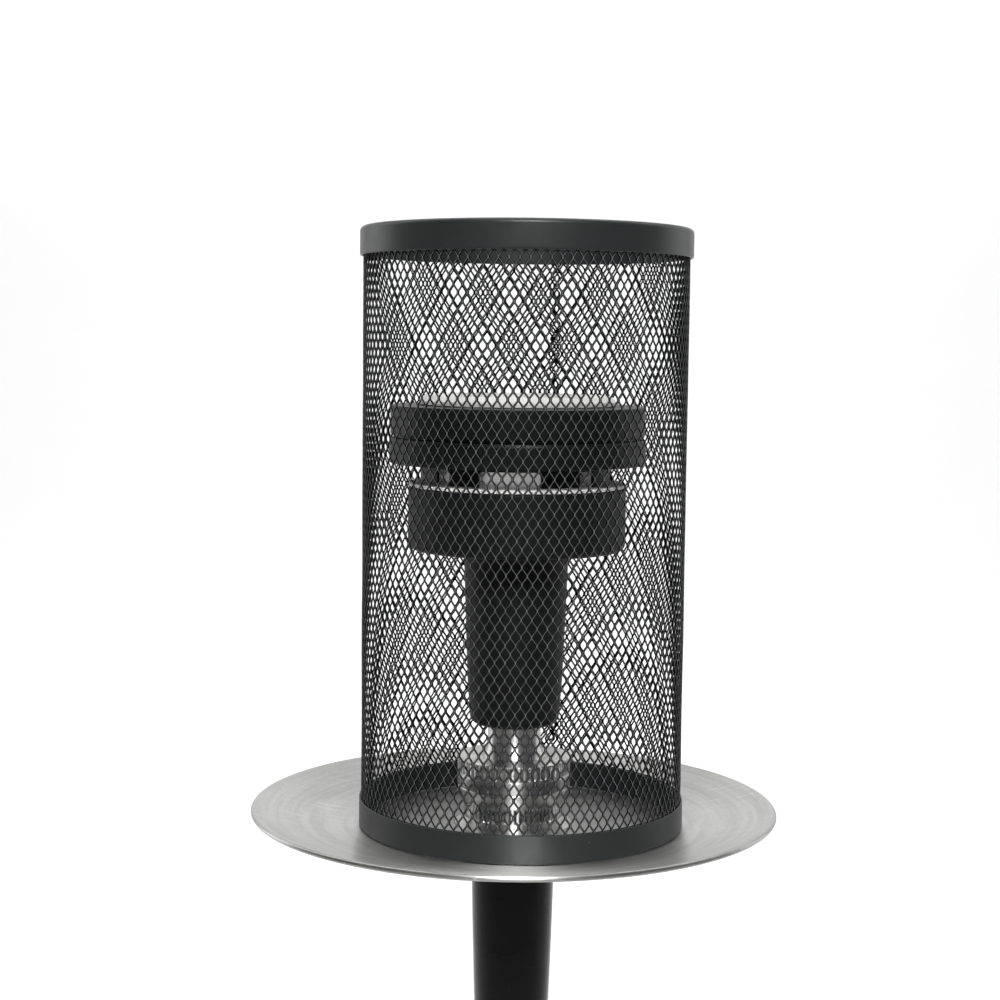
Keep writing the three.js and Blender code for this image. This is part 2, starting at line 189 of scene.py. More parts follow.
def ridge_highlight_coat(name, dark, ridge_highlight_tone):
    """Powder coat on a wall of strands, with a painted highlight: paler along each strand's ridge, where
    the key light catches it.
    """
    g = Graph(name)
    ridge = g.add("Attribute", {"attribute_name": RIDGE}).outputs["Fac"]
    patches = g.level(g.noise(g.place(), 190, 3), 0.45, 1.25)
    ridge_highlight_mask = g.math("MULTIPLY", g.ramp(ridge, [(0.72, 0.0), (0.96, 1.0)]), patches)
    # Painted highlight: the strands' ridges are lightened towards pale grey, standing in for the light they
    # catch.
    color = g.mix(ridge_highlight_mask, dark, ridge_highlight_tone)
    roughness = g.level(g.noise(g.place(), 500, 3), 0.4, 0.55)
    normal = g.bump(g.noise(g.place(), 2600, 3), 0.1, 0.0001)
    return g.done(color, roughness, normal, Metallic=0.0, Specular_IOR_Level=0.04)


def brushed_steel(name, tone, rough, lines, drawn_out, blotches, bands):
    """Turned or spun stainless steel. Its marks run round the axis, so highlights stretch across.

    blotches is the share of mottling and scratches, bands that of the wide spinning marks.
    """
    g = Graph(name)
    marks = g.noise(g.round_the_axis(lines, 2.5), 1.0, 5, 0.7)
    wide_marks = g.noise(g.round_the_axis(lines / 5, 1.6), 1.0, 3, 0.6)
    smudges = g.noise(g.place(), 34, 4, 0.6)
    mottle = g.noise(g.place(), 620, 3, 0.6)
    color = g.mix(g.level(marks, 0.2, 1.0), (*(0.84 * c for c in tone), 1), (*tone, 1))
    patchy = g.level(mottle, -0.35 * blotches, 0.6 * blotches)
    color = g.mix(patchy, color, (*(0.6 * c for c in tone), 1))
    # Painted shade: the colour darkens towards near black with the depth of a grip slot, standing in for
    # the shade inside the slots.
    slot_shade_depth = g.add("Attribute", {"attribute_name": SLOT}).outputs["Fac"]
    color = g.mix(g.math("MULTIPLY", slot_shade_depth, 0.8), color, (0.03, 0.03, 0.028, 1))
    dull = g.math("MULTIPLY", g.ramp(wide_marks, [(0.35, 1.0), (0.6, 0.0)]), 0.5 * bands)
    color = g.mix(dull, color, (*(0.55 * c for c in tone), 1))
    roughness = g.math("ADD", g.level(marks, rough - 0.05, rough + 0.06), g.level(smudges, -0.04, 0.06))
    height = g.math("ADD", marks, g.math("MULTIPLY", wide_marks, 0.2 + 6 * bands))
    height = g.math("ADD", height, g.math("MULTIPLY", mottle, 0.5 * blotches))
    for turn in (0.3, 1.25, 2.2):  # three sets of scratches, each in other places, and all along X
        thin = g.noise(g.stretched((30, 1500, 1), turn), 1.0, 2, 0.4)
        line = g.ramp(thin, [(0.70, 0.0), (0.74, 1.0)])
        color = g.mix(g.math("MULTIPLY", line, 0.4 * blotches), color, (0.9, 0.9, 0.88, 1))
    normal = g.bump(height, 0.03 + 0.07 * bands, 0.00005)
    tangent = g.add("Tangent", {"direction_type": "RADIAL", "axis": "Z"}).outputs[0]
    across = {"Anisotropic": drawn_out, "Anisotropic_Rotation": 0.25, "Tangent": tangent}
    return g.done(color, roughness, normal, Metallic=1.0, **across)


def anodised(name, tone, rough):
    """Black anodised aluminium with faint turning marks and smudges."""
    g = Graph(name)
    marks = g.noise(g.round_the_axis(2600, 2.0), 1.0, 4, 0.6)
    smudges = g.noise(g.place(), 55, 5, 0.6)
    color = g.mix(smudges, (*(0.75 * c for c in tone), 1), (*(1.5 * c for c in tone), 1))
    roughness = g.math("ADD", g.level(marks, rough - 0.05, rough + 0.05), g.level(smudges, -0.06, 0.08))
    normal = g.bump(marks, 0.1, 0.00006)
    return g.done(color, roughness, normal, Metallic=0.0, Specular_IOR_Level=0.2)


def cast_alloy(name, tone, rough, metallic):
    """Pale cast alloy with a fine sand grain and darker heat stains."""
    g = Graph(name)
    grain = g.noise(g.place(), 1300, 3, 0.6)
    stains = g.noise(g.place(), 75, 4, 0.6)
    color = g.mix(stains, (*tone, 1), (*(0.75 * c for c in tone), 1))
    roughness = g.level(grain, rough - 0.06, rough + 0.08)
    return g.done(color, roughness, g.bump(grain, 0.12, 0.0001), Metallic=metallic)


def fired_clay(name, tone):
    """Matte black clay with a fine grain."""
    g = Graph(name)
    grains = g.noise(g.place(), 1700, 4, 0.65)
    clouds = g.noise(g.place(), 70, 4)
    color = g.mix(clouds, (*(0.7 * c for c in tone), 1), (*(1.35 * c for c in tone), 1))
    roughness = g.level(grains, 0.42, 0.62)
    normal = g.bump(g.math("ADD", grains, g.math("MULTIPLY", clouds, 1.5)), 0.16, 0.0001)
    return g.done(color, roughness, normal, Metallic=0.0, Specular_IOR_Level=0.2)


def moulded(name, tone, rough, grain_scale, bump, specular=0.5):
    """Moulded rubber or plastic: a fine grain and slightly uneven gloss."""
    g = Graph(name)
    grain = g.noise(g.place(), grain_scale, 3, 0.6)
    clouds = g.noise(g.place(), 60, 3)
    color = g.mix(clouds, (*(0.8 * c for c in tone), 1), (*(1.25 * c for c in tone), 1))
    roughness = g.level(clouds, rough - 0.05, rough + 0.06)
    normal = g.bump(grain, bump, 0.0001)
    return g.done(color, roughness, normal, Metallic=0.0, Specular_IOR_Level=specular)


def studio_white(name):
    g = Graph(name)
    clouds = g.noise(g.place(), 2, 2)
    return g.done(g.mix(clouds, (0.9, 0.9, 0.9, 1), (0.93, 0.93, 0.93, 1)), 0.9)


FINISHES = {
    "coat": powder_coat("cover_coat", (0.012, 0.0135, 0.0138, 1), (0.018, 0.02, 0.0203, 1), 0.36, 0.34),
    "mesh": ridge_highlight_coat("mesh_coat", (0.002, 0.0022, 0.0024, 1), (0.18, 0.186, 0.19, 1)),
    "tray": brushed_steel("tray_steel", (0.46, 0.46, 0.447), 0.33, 1500, 0.8, 1.0, 1.0),
    "plate": cast_alloy("plate_alloy", (0.62, 0.62, 0.605), 0.6, 0.0),
    "steel": brushed_steel("turned_steel", (0.74, 0.74, 0.72), 0.28, 3000, 0.88, 0.0, 0.0),
    "vent": cast_alloy("vent_metal", (0.76, 0.76, 0.74), 0.55, 0.2),
    "hmd": anodised("hmd_black", (0.006, 0.0065, 0.0068), 0.36),
    "clay": fired_clay("black_clay", (0.0055, 0.006, 0.0062)),
    "sleeve": moulded("sleeve_black", (0.003, 0.003, 0.0032), 0.28, 2200, 0.05, 0.14),
    "rubber": moulded("black_rubber", (0.012, 0.012, 0.012), 0.75, 1500, 0.2),
    "bush": moulded("bush_plastic", (0.3, 0.31, 0.32), 0.5, 1200, 0.1),
}


# ------------------------------------------------------------------ shapes

def softened(profile, radius, steps=3):
    """The closed profile with every corner rounded, as far as its two sides allow."""
    points = [Vector(point) for point in profile]
    points = [point for i, point in enumerate(points) if (point - points[i - 1]).length > 1e-4]
    rounded = []
    for i, corner in enumerate(points):
        back, on = points[i - 1] - corner, points[(i + 1) % len(points)] - corner
        turn = math.pi - back.angle(on)
        if corner.x == 0 or turn < math.radians(14):
            rounded.append(corner)
            continue
        reach = min(radius * math.tan(turn / 2), 0.42 * back.length, 0.42 * on.length)
        start, end = corner + back.normalized() * reach, corner + on.normalized() * reach
        for k in range(steps + 1):
            t = k / steps
            rounded.append(start * (1 - t) ** 2 + corner * 2 * t * (1 - t) + end * t ** 2)
    return rounded


def arc(r, z, radius, start, end, steps=6):
    """Points of an arc round (r, z), angles in degrees from outwards, counter-clockwise."""
    angles = [math.radians(start + (end - start) * i / steps) for i in range(steps + 1)]
    return [(r + radius * math.cos(a), z + radius * math.sin(a)) for a in angles]


def curve(steps, point):
    return [point(i / steps) for i in range(steps + 1)]


def mesh_object(name, vertices, faces, finish):
    mesh = bpy.data.meshes.new(name)
    mesh.from_pydata(vertices, [], faces)
    piece = bpy.data.objects.new(name, mesh)
    bpy.context.scene.collection.objects.link(piece)
    piece.data.materials.append(FINISHES[finish])
    return piece


def face_outwards(piece):
    shape = bmesh.new()
    shape.from_mesh(piece.data)
    bmesh.ops.remove_doubles(shape, verts=shape.verts, dist=1e-7)
    bmesh.ops.recalc_face_normals(shape, faces=shape.faces)
    shape.to_mesh(piece.data)
    shape.free()


def smooth(piece, sharp=40):
    piece.data.shade_smooth()
    piece.data.set_sharp_from_angle(angle=math.radians(sharp))
    weighted = piece.modifiers.new("even_shading", "WEIGHTED_NORMAL")
    weighted.keep_sharp = True


def turned(name, profile, finish, node, soft=0.25, sides=128, relief=None, steps=3):
    """Turns a closed profile round the node's axis. relief(r, z, angle) may carve the surface."""
    points = softened(profile, soft, steps) if soft else [Vector(point) for point in profile]
    x0, y0 = middle(node)
    vertices, depths = [], []
    for side in range(sides):
        angle = 2 * math.pi * side / sides
        for level, z in points:
            r, z = relief(level, z, angle) if relief else (level, z)
            depths.append(level - r)
            vertices.append((x0 + r * MM * math.cos(angle), y0 + r * MM * math.sin(angle), FLOOR + z * MM))
    count = len(points)
    faces = []
    for side in range(sides):
        here, there = side * count, (side + 1) % sides * count
        for i in range(count):
            j = (i + 1) % count
            if points[i].x == 0 and points[j].x == 0:
                continue
            faces.append((here + i, there + i, there + j, here + j))
    piece = mesh_object(name, vertices, faces, finish)
    piece.data.attributes.new(SLOT, "FLOAT", "POINT").data.foreach_set("value", depths)
    face_outwards(piece)
    smooth(piece)
    return piece


def stand_for(piece, node):
    """piece is shown in place of the CAD node and moves with it."""
    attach(piece, BODY_OF[node])
    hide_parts(node)
    return piece


def prism(name, ring_a, ring_b):
    """A closed solid between two outlines with the same number of points."""
    count = len(ring_a)
    sides = [(i, (i + 1) % count, count + (i + 1) % count, count + i) for i in range(count)]
    faces = [tuple(range(count))[::-1], tuple(range(count, 2 * count)), *sides]
    tool = mesh_object(name, [*ring_a, *ring_b], faces, "hmd")
    face_outwards(tool)
    return tool


def cut(piece, tools):
    """Cuts the tools out of the piece and removes them."""
    for tool in tools:
        step = piece.modifiers.new("cut", "BOOLEAN")
        step.operation = "DIFFERENCE"
        step.solver = "EXACT"
        step.object = tool
        piece.modifiers.move(len(piece.modifiers) - 1, 0)
        bpy.context.view_layer.objects.active = piece
        with bpy.context.temp_override(object=piece, active_object=piece, selected_objects=[piece]):
            bpy.ops.object.modifier_apply(modifier=step.name)
        bpy.data.objects.remove(tool)
    piece.data.set_sharp_from_angle(angle=math.radians(30))
    return piece


def rounded_outline(half_width, low, high, radius, steps=4):
    """An outline of (across, along) points, its four corners rounded."""
    left, right = -half_width, half_width
    corners = [(left, low, 180), (right, low, 270), (right, high, 0), (left, high, 90)]
    outline = []
    for x, y, start in corners:
        cx, cy = x - math.copysign(radius, x), y + (radius if y == low else -radius)
        outline += arc(cx, cy, radius, start, start + 90, steps)
    return outline


# ------------------------------------------------------------------ wind cover

COVER = {
    "band": 58.0, "top_band": 58.5, "bore": 56.0, "channel": 57.45, "sheet": 0.55, "fold": 0.7,
    "top_round": 1.7, "mouth_bevel": 0.5, "foot_taper": 0.1, "foot_taper_height": 1.0,
}
SEAM = math.radians(75)  # the bands' butt joint and the mesh wall's lap, at the back
BAND_MARKS = {
    "groove": 0.12, "groove_width": 0.25, "wave": 0.05, "waves_round": 3, "first_wave": 0.4,
    "wave_up": 0.9, "inset": 0.06,
}
MESH = {
    "radius": 57.0,
    "columns": 104,
    "half_rows": 73,
    "width": 0.84,
    "ridge": 0.24,
    "back": -0.18,
    "bond": 0.14,  # the share of a half row over which two strands run side by side, at each end
    "overlap": 0.2,
    "wander": 0.14,
    "wander_scale": 2.2,
    "wander_height": 60,  # the height that counts as much as one radius in the wall's unevenness
    "lap_strands": 2,
    "lap_step": 0.34,
    "lap_shift": 0.7,
}


def band_relief(r, z, angle):
    """The bands' butt seam, and the slight waves that rolling leaves."""
    b = BAND_MARKS
    from_seam = abs(math.remainder(angle - SEAM, 2 * math.pi)) * r
    groove = b["groove"] * math.exp(-((from_seam / b["groove_width"]) ** 2)) if r > COVER["channel"] else 0
    wave = b["wave"] * math.sin(b["waves_round"] * angle + b["first_wave"]) * math.sin(z * b["wave_up"])
    return r - groove - b["inset"] + wave, z


def top_band():
    foot, top = foot_of("cover_top_band"), top_of("cover_top_band")
    outer, bore, channel, sheet = (COVER[key] for key in ("top_band", "bore", "channel", "sheet"))
    inner, roof = bore + sheet, top - COVER["fold"]
    edge, bevel = COVER["top_round"], COVER["mouth_bevel"]
    profile = [
        (channel, foot), (outer - COVER["foot_taper"], foot), (outer, foot + COVER["foot_taper_height"]),
        *arc(outer - edge, top - edge, edge, 0, 90), (bore + bevel, top), (bore, top - bevel), (bore, foot),
        (inner, foot), (inner, roof), (channel, roof),
    ]
    return turned("top_band", profile, "coat", "cover_top_band", 0.3, 256, band_relief)


def bottom_band():
    foot, top = foot_of("cover_bottom_band"), top_of("cover_bottom_band")
    outer, bore, channel, sheet = (COVER[key] for key in ("band", "bore", "channel", "sheet"))
    inner, floor = bore + sheet, foot + COVER["fold"]
    profile = [
        (bore, foot), (outer, foot), (outer, top), (channel, top), (channel, floor), (inner, floor),
        (inner, top), (bore, top),
    ]
    return turned("bottom_band", profile, "coat", "cover_bottom_band", 0.35, 256, band_relief)


def mesh_wall():
    """Expanded metal. Each strand zigzags up the wall, and runs beside its neighbour at every bond."""
    m = MESH
    x0, y0 = middle("cover_mesh")
    foot, top = foot_of("cover_mesh"), top_of("cover_mesh")
    strands = 2 * m["columns"]
    pitch = 2 * math.pi / strands
    swing = pitch / 2 - m["overlap"] / 2 / m["radius"]
    section = ((0, m["ridge"]), (-m["width"] / 2, m["back"]), (m["width"] / 2, m["back"]))
    stations = [(row + share, row) for row in range(m["half_rows"]) for share in (m["bond"], 1 - m["bond"])]
    vertices, faces = [], []
    for strand in range(strands + m["lap_strands"]):
        side = 1 if strand % 2 else -1
        lapped = strand >= strands
        first = len(vertices)
        for number, (height, row) in enumerate(stations):
            z = foot + (top - foot) * height / m["half_rows"]
            starts = number % 2 == 0
            way = side if (row % 2 == 0) == starts else -side
            angle = SEAM + (strand + 0.5) * pitch + swing * way
            where = Vector((math.cos(angle), math.sin(angle), z / m["wander_height"])) * m["wander_scale"]
            r = m["radius"] + m["wander"] * noise.noise(where)
            angle += m["wander"] * noise.noise(where * 2.6 + Vector((7, 3, 5))) / m["radius"]
            if lapped:
                r -= m["lap_step"]
                angle += m["lap_shift"] * pitch * (1 + noise.noise(Vector((z / 9, strand, 1))))
            for across, out in section:
                theta, rho = angle + across / r, (r + out) * MM
                vertices.append((x0 + rho * math.cos(theta), y0 + rho * math.sin(theta), FLOOR + z * MM))
        last = len(vertices) - 3
        for low in range(first, last, 3):
            faces += [(low + k, low + 3 + k, low + 3 + (k + 1) % 3, low + (k + 1) % 3) for k in range(3)]
        faces += [(first, first + 1, first + 2), (last + 2, last + 1, last)]
    piece = mesh_object("mesh_wall", vertices, faces, "mesh")
    piece.data.shade_smooth()
    # The ridge attribute masks the painted highlight that the mesh coat puts along each strand.
    ridge_highlight_mask = piece.data.attributes.new(RIDGE, "FLOAT", "POINT")
    ridge_highlight_mask.data.foreach_set("value", [1.0 if i % 3 == 0 else 0.0 for i in range(len(vertices))])
    return piece


# ------------------------------------------------------------------ tray

TRAY = {
    "hole": 21.3, "floor": 58.0, "rim": 92.4, "edge": 93.8, "height": 6.8, "hem": 4.9, "sheet": 0.9,
    "rise_power": 1.4, "bead": 0.95,
}


def tray_dish():
    hole, floor, rim, edge = (TRAY[key] for key in ("hole", "floor", "rim", "edge"))
    height, hem, sheet, bead = (TRAY[key] for key in ("height", "hem", "sheet", "bead"))

    def rise(t):
        return floor + (rim - floor) * t, height * t ** TRAY["rise_power"]

    upper = curve(28, rise)
    lower = [(r, z - sheet) for r, z in curve(24, lambda t: rise(0.97 * t))]
    roll = [
        (rim - 0.3, hem + 0.3), *arc(edge - bead, hem + bead, bead, -90, 0),
        *arc(edge - bead, height - bead, bead, 0, 90),
    ]
    profile = [(hole, -sheet), *lower, *roll, *upper[::-1], (hole, 0)]
    return turned("tray_dish", profile, "tray", "tray", 0.2, 288)


# ------------------------------------------------------------------ heat device

HMD = {
    "radius": 45.4, "lid": 45.0, "floor": 129.4, "body_top": 138.2, "lid_foot": 139.4, "lid_top": 149.6,
    "wall": 1.9, "sheet": 2.0, "skirt": 34.8, "skirt_sheet": 0.9, "body_bore": 33.0, "hole": 3.2,
    "lid_sheet": 1.8, "lip_gap": 0.3, "lip_wall": 1.6, "lip_depth": 2.0, "neck_in": 1.0,
    "bevel": 0.5, "bevel_height": 1.1,
}
DISC = {"radius": 34.8, "edge": 1.4, "top_radius": 33.0, "top": 153.2, "sink": 6.3, "sink_floor": 151.6}
RIVET = {"foot": 5.2, "foot_height": 1.6, "shank": 2.9, "head": 6.0, "crown": 5.0, "clear": 0.3}
PLATE = {
    "radius": 38.4, "top": 122.5, "sheet": 1.3, "mouth": 34.0, "rim": 2.4, "wall": 1.2,
    "ring": 28.7, "ring_top": 131.0, "ring_foot": 3.0, "hole": 2.1, "holes": ((6, 13), (12, 25)),
}
WINDOWS = {
    "count": 4, "first": -4.8, "wide": 35.6, "narrow": 10.5, "shift": 47.4, "top": 128.2, "arch": 1.6,
}
VENTS = {"count": 4, "width": 34.0, "inner": 13.0, "outer": 28.0, "corner": 2.2, "slack": 0.5}


def from_front(angle, r, z):
    """A place at an angle in degrees from the front (-Y) towards +X."""
    a = math.radians(angle - 90)
    return r * MM * math.cos(a), r * MM * math.sin(a), FLOOR + z * MM


def vent_tools(low, high, slack):
    """Rounded sector slots, four round the disc."""
    tools = []
    for i in range(VENTS["count"]):
        centre = 360 / VENTS["count"] * (i + 0.5)
        mean = (VENTS["inner"] + VENTS["outer"]) / 2
        half = math.radians(VENTS["width"] / 2) * mean
        inner, outer = VENTS["inner"] - slack, VENTS["outer"] + slack
        outline = rounded_outline(half, inner, outer, VENTS["corner"], 5)
        spread = [(centre + math.degrees(across / mean), along) for across, along in outline]
        ends = [[from_front(a, r, z) for a, r in spread] for z in (low, high)]
        tools.append(prism("vent_tool", *ends))
    return tools


def vent_disc():
    d, foot, hole = DISC, foot_of("vent_disc"), HMD["hole"]
    profile = [
        (hole, foot), (d["radius"], foot), (d["radius"], foot + d["edge"]), (d["top_radius"], d["top"]),
        (d["sink"], d["top"]), (d["sink"], d["sink_floor"]), (hole, d["sink_floor"]),
    ]
    piece = turned("vent_plate", profile, "vent", "vent_disc", 0.3, 160)
    return cut(piece, vent_tools(foot - 1, d["top"] + 1, VENTS["slack"]))


def vent_rivet():
    v, foot, top = RIVET, foot_of("vent_rivet"), top_of("vent_rivet")
    step, seat = foot + v["foot_height"], DISC["sink_floor"] + v["clear"]
    profile = [
        (0, foot), (v["foot"], foot), (v["foot"], step), (v["shank"], step), (v["shank"], seat),
        (v["head"], seat), (v["head"], top - 0.5), (v["crown"], top - 0.1), (0, top),
    ]
    return turned("vent_pivot", profile, "steel", "vent_rivet", 0.2, 64)


def lid():
    h = HMD
    lip, roof = h["radius"] - h["wall"] - h["lip_gap"], h["lid_top"] - h["lid_sheet"]
    inside, lip_foot, lip_top = lip - h["lip_wall"], h["body_top"] - h["lip_depth"], h["body_top"] + 0.3
    neck = h["lid"] - h["neck_in"]
    profile = [
        (h["hole"], roof), (inside, roof), (inside, lip_foot), (lip, lip_foot), (lip, lip_top),
        (neck, lip_top), (neck, h["lid_foot"]), (h["lid"], h["lid_foot"]), (h["lid"], h["lid_top"]),
        (h["hole"], h["lid_top"]),
    ]
    piece = turned("lid_shell", profile, "hmd", "hmd_lid", 0.55, 160)
    return cut(piece, vent_tools(roof - 1, h["lid_top"] + 1, 0))


def cup_ring():
    h = HMD
    floor, top, bore = h["floor"], h["body_top"], h["radius"] - h["wall"]
    profile = [
        (h["body_bore"], floor), (h["radius"], floor), (h["radius"], top - h["bevel_height"]),
        (h["radius"] - h["bevel"], top),
        (bore, top), (bore, floor + h["sheet"]), (h["body_bore"], floor + h["sheet"]),
    ]
    return turned("cup_ring", profile, "hmd", "hmd_body", 0.4, 160)


def window_tool(centre, width, low):
    """A gap between two legs, arched at the top, through the skirt's wall."""
    r = HMD["skirt"]
    half = math.radians(width / 2) * r
    outline = rounded_outline(half, low - 1, WINDOWS["top"], min(half, WINDOWS["arch"]), 5)
    spread = []
    for (x, z), (x2, z2) in zip(outline, outline[1:] + outline[:1]):
        parts = max(1, round(abs(x2 - x) / 1.5))
        spread += [(x + (x2 - x) * k / parts, z + (z2 - z) * k / parts) for k in range(parts)]
    angles = [(centre + math.degrees(x / r), z) for x, z in spread]
    ends = [[from_front(a, reach, z) for a, z in angles] for reach in (r - 4, r + 2)]
    return prism("window_tool", *ends)


def skirt():
    foot, top = foot_of("heat_skirt"), top_of("heat_skirt")
    outer, bore = HMD["skirt"], HMD["skirt"] - HMD["skirt_sheet"]
    profile = [(bore, foot), (outer, foot), (outer, top), (bore, top)]
    piece = turned("skirt_ring", profile, "hmd", "heat_skirt", 0.2, 160)
    tools = []
    for i in range(WINDOWS["count"]):
        centre = WINDOWS["first"] + 360 / WINDOWS["count"] * i
        tools.append(window_tool(centre, WINDOWS["wide"], foot))
        tools.append(window_tool(centre + WINDOWS["shift"], WINDOWS["narrow"], foot))
    return cut(piece, tools)


def plate():
    p = PLATE
    low, top, rim, ring = p["top"] - p["sheet"], p["top"], p["mouth"], p["ring"]
    bore = ring - p["wall"]
    flare = curve(8, lambda t: (ring + p["ring_foot"] * (1 - t) ** 2, top + p["ring_foot"] * t ** 2))
    profile = [
        (0, low), (rim - p["wall"], low), (rim - p["wall"], low - p["rim"]), (rim, low - p["rim"]),
        (rim, low), (p["radius"], low), (p["radius"], top), *flare, (ring, p["ring_top"]),
        (bore, p["ring_top"]), (bore, top), (0, top),
    ]
    piece = turned("coal_plate", profile, "plate", "heat_plate", 0.3, 160)
    tools = []
    for count, distance in p["holes"]:
        for i in range(count):
            a = 2 * math.pi * i / count
            x, y = distance * math.cos(a), distance * math.sin(a)
            outline = arc(x, y, p["hole"], 0, 337.5, 15)
            ends = [[(px * MM, py * MM, FLOOR + z * MM) for px, py in outline] for z in (low - 1, top + 1)]
            tools.append(prism("hole_tool", *ends))
    return cut(piece, tools)


# ------------------------------------------------------------------ bowl

BOWL = {
    "foot": 36.2, "neck": 16.0, "neck_round": 3.0, "belly": (16.5, 46.0), "waist": (17.0, 53.0),
    "neck_end": (18.5, 94.0), "fillet": 4.0, "fillet_out": 4.3, "cup": 38.6, "cup_foot": 98.8,
    "cup_round": 2.4, "rim": 120.9, "mouth": 34.6, "mouth_depth": 4.0, "well": 33.2, "well_start": 6.0,
    "well_floor": 104.2, "well_round": 4.5, "spire": 117.0, "spire_foot": 13.5, "spire_round": 3.0,
    "spire_side": 7.6, "spire_tip": 6.4, "channel": 5.0, "socket": 12.2, "shoulder": 60.3,
}


def clay_bowl():
    b = BOWL
    (waist, waist_z), (neck_end, end_z) = b["waist"], b["neck_end"]
    neck = curve(8, lambda t: (waist + (neck_end - waist) * t, waist_z + (end_z - waist_z) * t))
    foot_round, cup_round, well_round, spire_round = (
        b[key] for key in ("neck_round", "cup_round", "well_round", "spire_round")
    )
    outside = [
        *arc(b["neck"] - foot_round, b["foot"] + foot_round, foot_round, -90, 0), b["belly"], *neck,
        *arc(neck_end + b["fillet_out"], b["cup_foot"] - b["fillet"], b["fillet"], 170, 95, 5),
        *arc(b["cup"] - cup_round, b["cup_foot"] + cup_round, cup_round, -90, 0),
        (b["cup"], b["rim"] - 6), (b["cup"], b["rim"]),
    ]
    well = [
        (b["mouth"], b["rim"]), (b["mouth"], b["rim"] - b["mouth_depth"]),
        (b["well"], b["rim"] - b["well_start"]),
        *arc(b["well"] - well_round, b["well_floor"] + well_round, well_round, 0, -90),
        *arc(b["spire_foot"], b["well_floor"] + spire_round, spire_round, -90, -160),
        (b["spire_side"], b["spire"] - 1), (b["spire_tip"], b["spire"]),
    ]
    channel = [
        (b["channel"], b["spire"]), (b["channel"], b["shoulder"]), (b["socket"], b["shoulder"]),
        (b["socket"], b["foot"]),
    ]
    return turned("clay_bowl", [*outside, *well, *channel], "clay", "bowl", 0.5, 160)


NECK_GROMMET = {
    "foot_bore": 9.8, "top_bore": 8.95, "ribs": 5, "rib_height": 0.5, "rib_half": 1.3, "crest_half": 0.5,
}


def neck_grommet():
    g, foot, top = NECK_GROMMET, foot_of("bowl_grommet"), top_of("bowl_grommet")
    outer = radius_of("bowl_grommet")
    root, half, crest = outer - g["rib_height"], g["rib_half"], g["crest_half"]
    ribs = []
    for i in range(g["ribs"]):
        z = foot + (top - foot) * (i + 0.5) / g["ribs"]
        ribs += [(root, z - half), (outer, z - crest), (outer, z + crest), (root, z + half)]
    profile = [(g["foot_bore"], foot), (root, foot), *ribs, (root, top), (g["top_bore"], top)]
    return turned("neck_grommet", profile, "rubber", "bowl_grommet", 0.3, 96)


# ------------------------------------------------------------------ adapter, collar, stem

FLUTES = {"count": 57, "samples": 14, "land": 0.2, "round_end": 0.9}


def flutes(crest, low, high, depth):
    """Upright grip slots with round ends, cut into a band of a collar."""

    def relief(r, z, angle):
        if r < crest - 0.05 or not low < z < high:
            return r, z
        wave = max(0.0, math.cos(FLUTES["count"] * angle) - FLUTES["land"]) / (1 - FLUTES["land"])
        reach = min(1.0, min(z - low, high - z) / FLUTES["round_end"])
        return r - depth * math.sqrt(wave * reach), z

    return relief


def grip_rows(crest, low, high):
    """Close rows up a grip band, so that its slots have smooth ends."""
    steps = (0, 0.05, 0.2, 0.45, FLUTES["round_end"])
    return [(crest, low + s) for s in steps] + [(crest, high - s) for s in reversed(steps)]


ADAPTER = {
    "flange": 20.2, "flange_foot": 14.3, "flange_top": 24.5, "grip": (19.0, 24.0), "slots": 0.5,
    "spigot": 11.7, "neck": 9.5, "flare": 2.6, "flare_height": 7.0, "neck_top": 36.0, "nipple": 8.6,
    "bore": 5.5, "groove": 0.35, "chamfer": 0.8, "flare_power": 2.2, "top_taper": 0.7,
}
COLLAR = {
    "radius": 17.7, "wide": 20.1, "grip": (3.0, 8.4), "slots": 1.0, "top": 14.0, "socket": 12.0,
    "socket_floor": 3.0, "flange": 21.0, "flange_foot": -0.5, "flange_top": 0.1, "undercut": 16.2,
    "undercut_top": 2.6, "tube_seat": 8.3, "tube_bore": 6.5, "tube_stop": 0.3, "waist_gap": 0.4,
    "waist_power": 1.6, "top_taper": 0.3,
}
GROMMET = {"bore": 18.1, "flange": 25.5, "flange_top": -1.2, "upstand": 20.9}
THREAD = {"pitch": 1.5, "depth": 0.5, "crest": 0.3}


def thread_ridges(crest, foot, count):
    """A thread's section up a spigot, as ridges one pitch apart."""
    ridges = []
    for i in range(count):
        z = foot + THREAD["pitch"] * i
        root, rise = crest - THREAD["depth"], z + THREAD["depth"]
        fall = rise + THREAD["crest"]
        ridges += [(root, z), (crest, rise), (crest, fall), (root, fall + THREAD["depth"])]
    return ridges


def steel_adapter():
    a = ADAPTER
    foot, top = foot_of("bowl_adapter"), top_of("bowl_adapter")
    flange, neck, nipple, (low, high) = a["flange"], a["neck"], a["nipple"], a["grip"]
    flange_top, spread, height = a["flange_top"], a["flare"], a["flare_height"]
    flare = curve(10, lambda t: (neck + spread * (1 - t) ** a["flare_power"], flange_top + height * t))
    root, groove, chamfer = a["spigot"] - THREAD["depth"], flange - a["groove"], a["chamfer"]
    profile = [
        (a["bore"], foot), *thread_ridges(a["spigot"], foot + chamfer, 5), (root, a["flange_foot"]),
        (flange, a["flange_foot"]), (flange, low - 0.8), (groove, low - 0.5), (groove, low - 0.3),
        *grip_rows(flange, low, high), (flange - a["top_taper"], flange_top), *flare, (neck, a["neck_top"]),
        (nipple, top - chamfer), (nipple - chamfer, top), (a["bore"], top),
    ]
    sides, relief = FLUTES["count"] * FLUTES["samples"], flutes(flange, low, high, a["slots"])
    return turned("steel_adapter", profile, "steel", "bowl_adapter", 0.16, sides, relief, 2)


